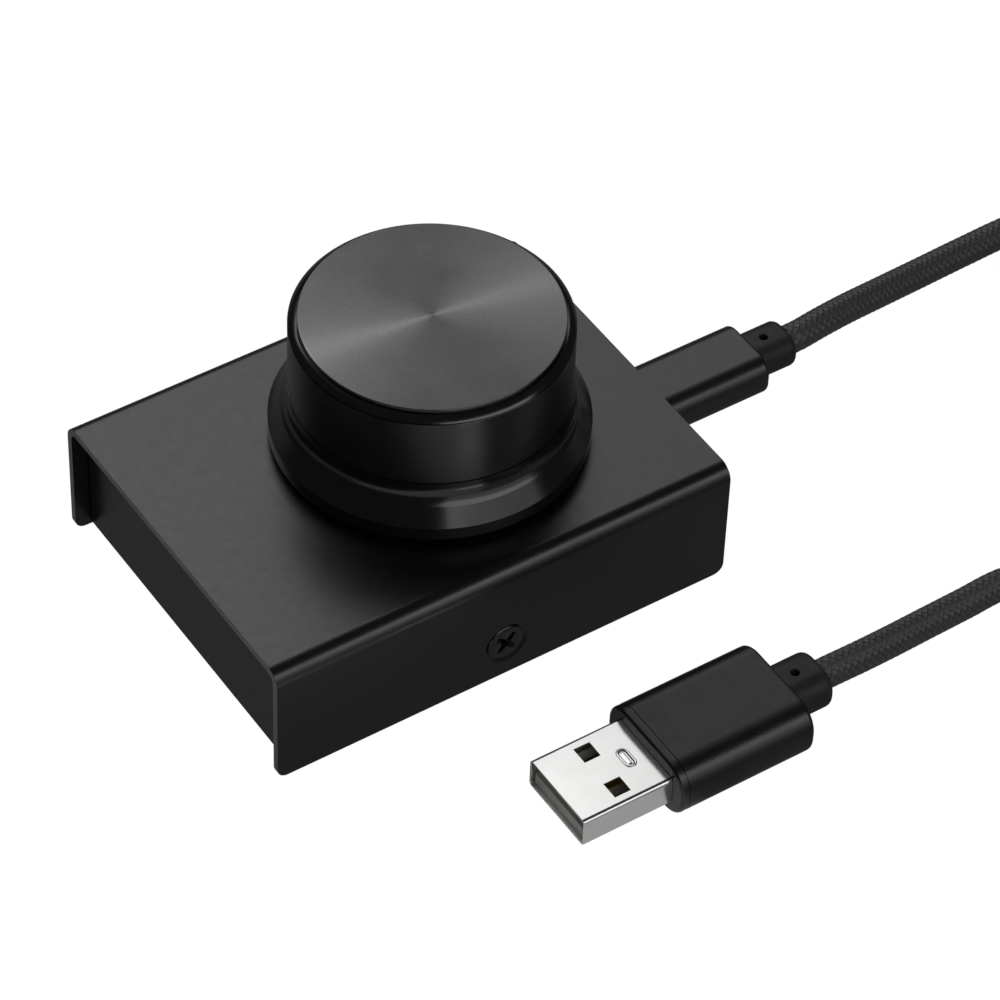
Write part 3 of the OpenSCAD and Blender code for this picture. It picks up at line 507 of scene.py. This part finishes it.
def cut_ends(obj, x, look):
    """Gives the faces at the two ends of a sheet piece, where the sheet is cut, their own material: a pale
    grey that paints the highlight their rounded edges catch.
    """
    obj.data.materials.append(MATERIALS[look])
    for face in obj.data.polygons:
        if abs(face.normal.x) > 0.9 and abs(abs(face.center.x) - x) < 0.0001:
            face.material_index = 1


CUT_EDGE_OVER = math.radians(50)


def cross_recess(name):
    """The driver's recess: four arms round a square core, which narrow towards the bottom."""
    levels = ((0.3, 0.8, -1.7), (0.46, 1.85, 0.1))
    arm_taper = 0.72
    verts = []
    for core, arm, z in levels:
        corner = [(core, core), (arm, core * arm_taper), (arm, -core * arm_taper)]
        for q in range(4):
            c, t = math.cos(q * math.pi / 2), -math.sin(q * math.pi / 2)
            verts += [Vector((a * c - b * t, a * t + b * c, z)) * MM for a, b in corner]
    n = len(verts) // 2
    faces = [tuple(range(n)), tuple(range(2 * n - 1, n - 1, -1))]
    faces += [(k, k + n, (k + 1) % n + n, (k + 1) % n) for k in range(n)]
    cutter = mesh_object(name, verts, faces)
    bm = bmesh.new()
    bm.from_mesh(cutter.data)
    bmesh.ops.recalc_face_normals(bm, faces=bm.faces)
    bm.to_mesh(cutter.data)
    bm.free()
    return cutter


def screw(name, node, side):
    """A countersunk screw with a cross recess, its head a little smaller than its seat."""
    low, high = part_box(node)
    face_y = low[1] if side < 0 else high[1]
    head_r, thread_r, pitch, cut = 2.68, 1.45, 0.5, 0.18
    profile = [(0, -0.1), (head_r - 0.5, -0.1), *arc(head_r - 0.28, -0.4, 0.28, 0.3, 90, 0, 6),
               (head_r - 0.05, -0.5), (thread_r, -1.25)]
    z = -1.3
    while z > -4.6:
        profile += [(thread_r - cut, z - 0.1), (thread_r - 0.02, z - 0.3), (thread_r - cut, z - 0.5)]
        z -= pitch
    profile += [(thread_r - 0.35, -4.95), (0, -4.95)]
    obj = lathe(name, profile, (0, 0, 0), 64)
    recess = cross_recess(name + "_recess")
    cut_away(obj, recess)
    round_edges(obj, 0.06, CUT_EDGE_OVER)
    baked(obj)
    bpy.data.objects.remove(recess)
    turn = Matrix.Rotation(math.radians(48), 4, "Z")
    obj.data.transform(Matrix.Rotation(math.radians(90) * -side, 4, "X") @ turn)
    obj.location = ((low[0] + high[0]) / 2, face_y, (low[2] + high[2]) / 2)
    return finish_piece(obj, BODY_OF[node], RECORD_SLOT[node], (node,), 30)


# The knob, turned from one profile about its axis, in mm over the cover's top
cover_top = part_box("top_cover")[1][2]
low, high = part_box("knob_body")
KNOB_AXIS = Vector(((low[0] + high[0]) / 2, (low[1] + high[1]) / 2, cover_top))


def knob():
    """The knob's body; gives the height of the disc's seat."""
    grip_r, skirt_r, shoulder_r = 18.04, 20.6, 19.0
    foot_z, wall_z, cone_z, neck_z, rim_z = 0.8, 3.0, 5.33, 8.3, 19.75
    seat_r, seat_z = 17.1, 18.64
    under_z, boss_r, hub_r, hub_z = 15.64, 8.0, 6.0, 4.2
    profile = [
        (0, seat_z), (seat_r - 0.2, seat_z), (seat_r, seat_z), (seat_r, rim_z - 0.28),
        *arc(grip_r - 2.145, rim_z - 2.75, 2.8, 2.8, 64.5, 40, 12),
        (grip_r - 0.03, rim_z - 0.98), (grip_r - 0.15, rim_z - 1.0),
        (grip_r - 0.15, rim_z - 1.15), (grip_r - 0.03, rim_z - 1.17), (grip_r, rim_z - 1.2),
        (grip_r, rim_z - 1.5), (grip_r, neck_z + 0.6), (grip_r, neck_z + 0.3), (grip_r - 0.04, neck_z + 0.26),
        (grip_r - 0.2, neck_z + 0.24), (grip_r - 0.2, neck_z + 0.02),
        (grip_r, neck_z), (grip_r, neck_z - 0.3),
        *arc(grip_r + 3.15, neck_z - 0.7, 3.15, 3.15, 180, 226, 14),
        (shoulder_r + 0.06, cone_z - 0.08),
        (skirt_r - 0.06, wall_z + 0.1), (skirt_r - 0.01, wall_z + 0.03), (skirt_r, wall_z - 0.06),
        *arc(skirt_r - 0.5, foot_z + 0.5, 0.5, 0.5, 0, -90, 8),
        (grip_r - 0.7, foot_z), (grip_r - 0.8, foot_z + 0.1), (grip_r - 0.8, 5.5), (grip_r - 1.8, 5.5),
        (grip_r - 1.8, under_z), (boss_r, under_z), (boss_r, hub_z + 0.2), (boss_r - 0.2, hub_z),
        (hub_r + 0.1, hub_z), (hub_r, hub_z + 0.1), (hub_r, under_z), (0, under_z),
    ]
    body = lathe("knob_turned", profile, KNOB_AXIS)
    finish_piece(body, "knob", "knob_anodised", ("knob_body",), 20)
    return seat_z


def knob_disc(seat_z):
    """The inlaid disc on its seat, and the light that only the disc takes."""
    top_z, disc_r, edge_r = 19.99, 16.84, 0.14
    disc = lathe("knob_disc", [
        (0, top_z), (0.3, top_z), (4, top_z), (8, top_z), (12, top_z), (disc_r - 0.3, top_z),
        *arc(disc_r - edge_r, top_z - edge_r, edge_r, edge_r, 90, 0, 4),
        (disc_r, seat_z + 0.02), (disc_r - 0.05, seat_z + 0.01), (0, seat_z + 0.01)], KNOB_AXIS)
    finish_piece(disc, "knob", "disc_spun", ("knob_top_disc",), 20)
    lit = bpy.data.collections.new("lit_by_streak")
    lit.objects.link(disc)
    streak_light.light_linking.receiver_collection = lit


knob_disc(knob())

# The sheet-metal case
SCREW_Z = 6.7
SEAT_OUTER_R, SEAT_INNER_R, SEAT_DEPTH, SEAT_Y = 3.3, 2.6, 0.7, 25.35


def screw_seat(side):
    """The cone that is drilled in a flange for the screw's head."""
    bpy.ops.mesh.primitive_cone_add(
        vertices=64, radius1=SEAT_OUTER_R * MM, radius2=SEAT_INNER_R * MM, depth=SEAT_DEPTH * MM,
        location=(0, side * SEAT_Y * MM, SCREW_Z * MM), rotation=(side * math.pi / 2, 0, 0))
    return bpy.context.object


seats = [screw_seat(-1), screw_seat(1)]
# The cover's cut ends take the pale material, a painted highlight.
cut_ends(dressed("top_cover", 0.24, 4, drills=seats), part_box("top_cover")[1][0], "painted_end_highlight")
dressed("base_tray", 0.1, 3)
screw("screw_front", "cover_screw_front", -1)
screw("screw_back", "cover_screw_back", 1)
for node in ("foot_front_left", "foot_front_right", "foot_back_left", "foot_back_right"):
    dressed(node, 0.15)

# The two plugs: housings and strain reliefs. Heights and places are in mm
PORT_Z = 7.43
A_Y, A_Z = -49.1, 4.2
DEVICE_HOUSING_X = (31.7, 55.2)
DEVICE_RELIEF_END = 61.3
A_HOUSING_X = (5.1, 25.3)
A_RELIEF_END = 31.5


def relief_with_hole(name, x0, x1, w, t, y, z, node):
    """A rubber strain relief from x0 to x1, with the moulding's small hole in its top."""
    obj = bar(name, w, t, t / 2 - 0.3, (y, z), drawn_in(x0, x1, 0.12, 1.1))
    hole_r, hole_depth = 0.6, 3.2
    bpy.ops.mesh.primitive_cylinder_add(
        vertices=32, radius=hole_r * MM, depth=hole_depth * MM,
        location=Vector(((x0 + x1) / 2 - 0.7, y, z + t / 2)) * MM)
    drill = bpy.context.object
    cut_away(obj, drill)
    round_edges(obj, 0.1, CUT_EDGE_OVER)
    baked(obj)
    bpy.data.objects.remove(drill)
    return finish_piece(obj, "cable", "relief_rubber", (node,), 40)


plug = bar("device_plug_moulding", 10.4, 6.2, 2.5, (0, PORT_Z), drawn_in(*DEVICE_HOUSING_X, 0.35, 0.6))
finish_piece(plug, "cable", "plug_anodised", ("device_plug_housing",), 30)
relief_with_hole("device_relief", DEVICE_HOUSING_X[1], DEVICE_RELIEF_END, 6.6, 5.2, 0, PORT_Z,
                 "device_strain_relief")

LIP = ((6.0, 0.0), (6.05, 0.1), (6.3, 0.1), (6.35, 0.0))
a_plug = bar("a_plug_moulding", 16.2, 8.4, 3.6, (A_Y, A_Z), drawn_in(*A_HOUSING_X, 0.45, 0.7, LIP))
finish_piece(a_plug, "cable", "plug_anodised", ("a_plug_housing",), 30, "plug_moulded")
relief_with_hole("a_relief", A_HOUSING_X[1], A_RELIEF_END, 7.7, 6.0, A_Y, A_Z, "a_strain_relief")
dressed("a_plug_shell", 0.08)


def dimple():
    """The pressed oval over the tongue's latch: a low lip round a dished floor."""
    x, y, top = 2.2, A_Y, 6.45
    width, length, end_r = 1.3, 3.0, 0.649
    steps = ((-0.2, -0.13), (-0.2, 0.0), (-0.12, 0.06), (0.0, 0.08), (0.09, 0.04), (0.2, -0.08), (0.3, -0.12),
             (0.42, -0.07), (0.55, -0.03), (0.62, -0.025))
    verts, faces = [], []
    for inset, z in steps:
        loop = corner_loop(width - 2 * inset, length - 2 * inset, end_r - inset)
        verts += [Vector((x + a, y + b, top + z)) * MM for a, b in loop]
    n = len(loop)
    for i in range(len(steps) - 1):
        for k in range(n):
            a, b = i * n + k, i * n + (k + 1) % n
            faces.append((a, b, b + n, a + n))
    faces += [tuple(reversed(range(n))), tuple(range((len(steps) - 1) * n, len(steps) * n))]
    finish_piece(mesh_object("a_plug_dimple", verts, faces), "cable", "connector_shell", sharp=60)


dimple()
dressed("cord_tie", 0.15)

# The switch's snap dome, dressed and given a mesh of its own; its box is read, in metres, but not used
dome = dressed("switch_dome", 0.02)
low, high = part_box("switch_dome")
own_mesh(dome)

# ---- the cord ----

CORD_D = 4.2
DEVICE_ROUTE = [
    (61.3, 0, 7.43), (63.4, 0, 7.43), (67.6, 0.7, 7.1), (73, 2.03, 5.9), (80, 3.53, 4.3), (88, 4.91, 2.9),
    (96, 5.76, 2.2), (104, 6, 2.1), (112, 5.4, 2.1), (120.5, 2.9, 2.1), (128.3, -1.6, 2.1), (134.6, -8, 2.1),
    (139, -15.6, 2.1), (141.6, -23.4, 2.4), (142.3, -30.6, 2.8), (142.3, -34.8, 2.9), (142.3, -39, 2.9),
]
PLUG_ROUTE = [
    (108, -73.3, 7.45), (104, -73.3, 7.45), (97.6, -72.6, 6.2), (91, -70.2, 4.4), (85, -65.6, 2.9),
    (80.4, -59.7, 2.2), (75.4, -53, 2.1), (69.4, -48.6, 2.1), (62.5, -47.2, 2.1), (56, -47.35, 2.1),
    (50, -47.7, 2.4), (44, -48.34, 3.1), (38.4, -48.95, 3.9), (33.6, -49.1, 4.2), (31.5, -49.1, 4.2),
]
COIL_CENTRE = (112.0, -43.0)
COIL_LOW = 2.9
COIL_PITCH = 4.55
COIL_TURNS = 7.25
COIL_OUT = 30.3
COIL_HALF = COIL_TURNS / 2
COIL_IN = COIL_OUT - COIL_HALF * COIL_PITCH
COIL_RINGS = 24


def coil_point(t):
    """The coil's axis after t turns: clockwise, in over the table, and out again on top."""
    radius = COIL_IN + COIL_PITCH * math.sqrt((t - COIL_HALF) ** 2 + 0.01)
    q = min(max((t - COIL_HALF + 0.25) * 2, 0), 1)
    height = COIL_LOW + COIL_PITCH * q * q * (3 - 2 * q)
    a = -2 * math.pi * t
    return (COIL_CENTRE[0] + radius * math.cos(a), COIL_CENTRE[1] + radius * math.sin(a), height)


def smooth_path(points, step):
    """Even points along a Catmull-Rom curve through the given ones."""
    p = np.array([points[0], *points, points[-1]], float)
    rows = []
    for i in range(1, len(p) - 2):
        t = np.linspace(0, 1, 24, endpoint=False)[:, None]
        a, b, c, d = p[i - 1], p[i], p[i + 1], p[i + 2]
        rows.append(0.5 * (2 * b + (c - a) * t + (2 * a - 5 * b + 4 * c - d) * t ** 2
                           + (3 * b - a - 3 * c + d) * t ** 3))
    fine = np.vstack([*rows, p[-1:]])
    run = np.concatenate([[0], np.cumsum(np.linalg.norm(np.diff(fine, axis=0), axis=1))])
    even = np.linspace(0, run[-1], int(round(run[-1] / step)) + 1)
    return np.stack([np.interp(even, run, fine[:, k]) for k in range(3)], axis=1), run[-1]


# The braid, in mm: a cell is one crossing along the cord, and its crowns stand proud by the relief
STRANDS = 12
AROUND = 3 * STRANDS
CELL = 1.05
RELIEF = 0.05


def braided_cord():
    """One tube from plug to plug along the routes and the coil, with the braid's crowns in its mesh."""
    turns = [coil_point(i / COIL_RINGS) for i in range(1, int(COIL_TURNS * COIL_RINGS))]
    route = [*DEVICE_ROUTE, *turns, (PLUG_ROUTE[0][0] + CORD_D, *PLUG_ROUTE[0][1:]), *PLUG_ROUTE]
    path, length = smooth_path(route, CELL / 3)
    ways = np.gradient(path, axis=0)
    ways /= np.linalg.norm(ways, axis=1)[:, None]
    side = np.cross(ways[0], (0, 0, 1.0))
    verts = []
    angles = np.arange(AROUND) * 2 * math.pi / AROUND
    run = np.arange(len(path)) * length / (len(path) - 1)
    for i, way in enumerate(ways):
        side = side - way * side.dot(way)
        side /= np.linalg.norm(side)
        top = np.cross(side, way)
        crate = np.cos(2 * math.pi * run[i] / CELL) - np.cos(angles * STRANDS)
        r = CORD_D / 2 - RELIEF + RELIEF * 0.5 * crate
        verts.append(path[i] + (r * np.cos(angles))[:, None] * side + (r * np.sin(angles))[:, None] * top)
    count = len(path)
    points = np.vstack(verts) * MM
    i, k = np.meshgrid(np.arange(count - 1), np.arange(AROUND), indexing="ij")
    n = (k + 1) % AROUND
    this, following = i * AROUND, (i + 1) * AROUND
    quads = np.stack([this + k, this + n, following + n, following + k], axis=-1).reshape(-1, 4)
    faces = [tuple(q) for q in quads.tolist()]
    faces.append(tuple(reversed(range(AROUND))))
    faces.append(tuple(range((count - 1) * AROUND, count * AROUND)))
    cord = mesh_object("braided_cord", points.tolist(), faces)
    u = np.stack([k, k + 1, k + 1, k], axis=-1).reshape(-1) * STRANDS / AROUND
    v = np.stack([i, i, i + 1, i + 1], axis=-1).reshape(-1) / 3.0
    strands = cord.data.uv_layers.new(name="strands")
    uv = np.zeros((len(cord.data.loops), 2))
    uv[:len(u), 0] = u
    uv[:len(v), 1] = v
    strands.data.foreach_set("uv", uv.reshape(-1))
    nodes = ("cord_device_run", "cord_coil", "cord_plug_run")
    finish_piece(cord, "cable", "cord_braid", nodes, 80, even=False)
    return cord, path * MM, length * MM


cord, cord_path, cord_length = braided_cord()
print("cord length", round(cord_length, 4))

# ---- every CAD node that still shows ----

for name, obj in frame["nodes"].items():
    material = MATERIALS[RECORD_SLOT[name]]
    if not obj.material_slots:
        obj.data.materials.append(material)
    for slot in obj.material_slots:
        slot.link = "OBJECT"
        slot.material = material

# ---- floor ----


def soft_step(s, value, start, end):
    """From 0 to 1 as the value goes from start to end, in metres."""
    inputs = {"Value": value, "From Min": start, "From Max": end}
    return s.node("MapRange", inputs, interpolation_type="SMOOTHSTEP").outputs[0]


def floor():
    """White to the camera. Reflections see it glow dim, and glow brighter in a patch in front of the case by
    the bare metal plug: a painted reflection for the plug's metal.
    """
    mesh = bpy.data.meshes.new("floor")
    half = 6.0
    under_feet = 0.0001
    corners = [(-half, -half, 0), (half, -half, 0), (half, half, 0), (-half, half, 0)]
    mesh.from_pydata(corners, [], [(0, 1, 2, 3)])
    obj = bpy.data.objects.new("floor", mesh)
    obj.location.z = -under_feet
    bpy.context.collection.objects.link(obj)
    s = Shader("floor_white", Roughness=0.9, Specular_IOR_Level=0.0)
    s.bsdf.inputs["Base Color"].default_value = (0.05, 0.05, 0.05, 1)
    s.bsdf.inputs["Emission Color"].default_value = (1, 1, 1, 1)
    place = s.node("SeparateXYZ", {"Vector": s.place}).outputs
    # Painted reflection: a brighter glowing patch, seen only in reflections, in front of the case by the
    # metal plug.
    in_front = soft_step(s, place[1], -0.041, -0.048)
    by_shell = soft_step(s, place[0], 0.011, 0.006)
    reflected_glow = s.span(s.math("MULTIPLY", in_front, by_shell), 0.1, 0.3, 0.0, 1.0)
    seen = s.node("LightPath").outputs["Is Camera Ray"]
    s.feed(s.bsdf, {"Emission Strength": s.node("Mix", {"Factor": seen, 2: reflected_glow, 3: 1.0}).outputs[0]})
    mesh.materials.append(s.material)


floor()
